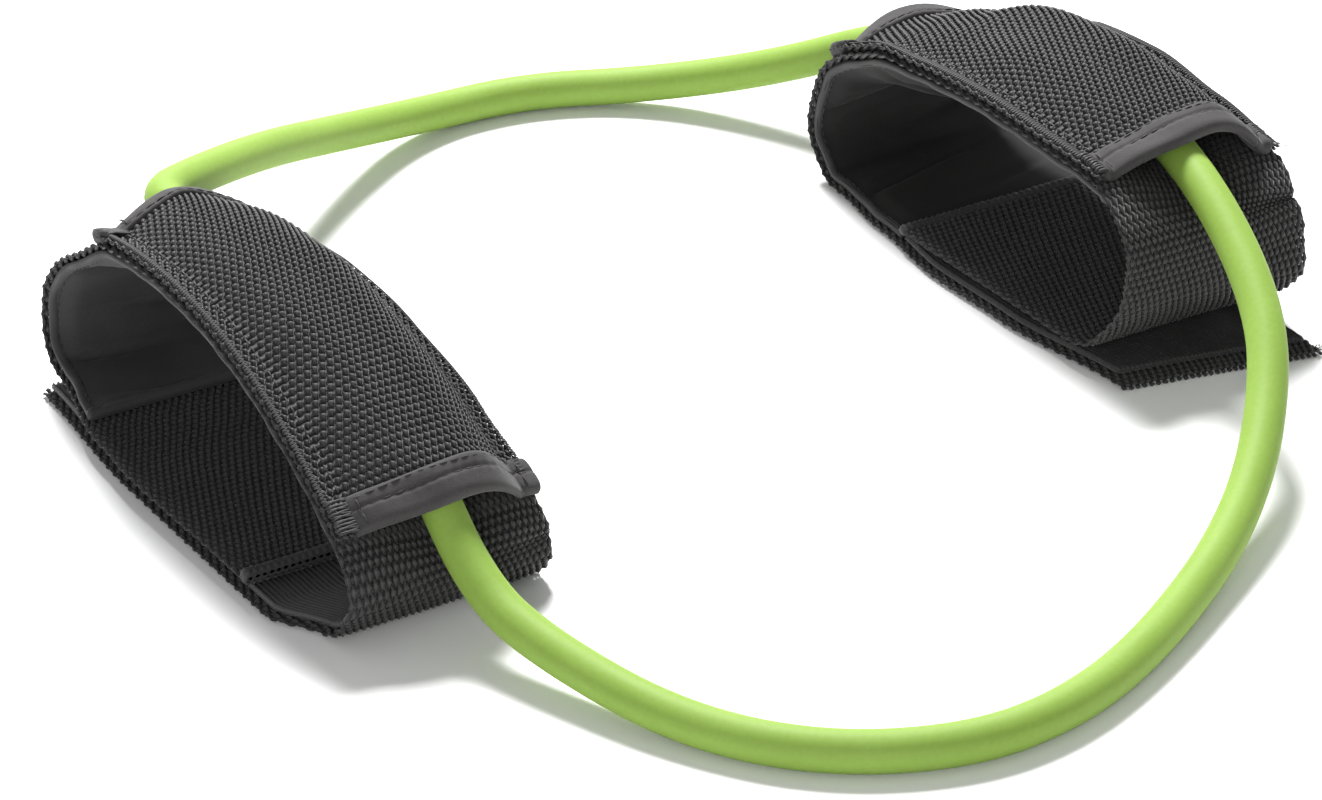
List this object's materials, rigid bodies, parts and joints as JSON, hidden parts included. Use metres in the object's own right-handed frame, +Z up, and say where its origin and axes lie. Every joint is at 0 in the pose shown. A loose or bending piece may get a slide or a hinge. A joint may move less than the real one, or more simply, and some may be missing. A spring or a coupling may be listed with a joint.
{
  "type": "resistance band with ankle cuffs",
  "caption": "Loop of elastic tube threaded through the sleeves of webbing ankle cuffs with hook-and-loop closures, for sideways leg exercise.",
  "frame": {"origin": "on the floor, at the centre of the box round the two cuffs", "axes": "+X from the left cuff to the right cuff and through both ankle openings, +Y along the straps towards the back span of the tube, +Z up"},
  "size_m": [0.2468, 0.3046, 0.0589],
  "materials": {
    "tube": "satin latex, bright green",
    "connector": "moulded nylon",
    "webbing": "coarse heavy black webbing",
    "binding": "smooth folded tape",
    "liner": "smooth foam-backed nylon",
    "loop_tape": "short black pile",
    "hook_tape": "fine moulded hooks",
    "thread": "polyester thread"
  },
  "bodies": {
    "left_cuff": {"left_strap_webbing": "webbing", "left_hook_tape": "hook_tape", "left_sleeve_webbing": "webbing", "left_front_binding": "binding", "left_rear_binding": "binding", "left_bar_tacks": "thread", "left_liner": "liner", "left_liner_binding": "binding"},
    "left_flap": {"left_closure_flap": "webbing", "left_loop_tape": "loop_tape"},
    "tube": {"resistance_tube": "tube", "tube_connector": "connector"},
    "right_cuff": {"right_strap_webbing": "webbing", "right_hook_tape": "hook_tape", "right_sleeve_webbing": "webbing", "right_front_binding": "binding", "right_rear_binding": "binding", "right_bar_tacks": "thread", "right_liner": "liner", "right_liner_binding": "binding"},
    "right_flap": {"right_closure_flap": "webbing", "right_loop_tape": "loop_tape"}
  },
  "joints": [
    {"name": "left_flap_peel", "type": "hinge", "parent": "left_cuff", "child": "left_flap", "pos_m": [-0.098, -0.06015, 0], "axis": [-1, 0, 0], "range_deg": [0, 100]},
    {"name": "tube_slide_in_left_sleeve", "type": "hinge", "parent": "left_cuff", "child": "tube", "pos_m": [-0.098, 0.0079, -0.0595], "axis": [1, 0, 0], "range_deg": [-3, 3]},
    {"name": "right_cuff_slide_on_tube", "type": "hinge", "parent": "tube", "child": "right_cuff", "pos_m": [0.098, -0.01, -0.1414], "axis": [1, 0, 0], "range_deg": [-3, 1.5]},
    {"name": "right_flap_peel", "type": "hinge", "parent": "right_cuff", "child": "right_flap", "pos_m": [0.098, 0.05115, 0], "axis": [1, 0, 0], "range_deg": [0, 100]}
  ]
}
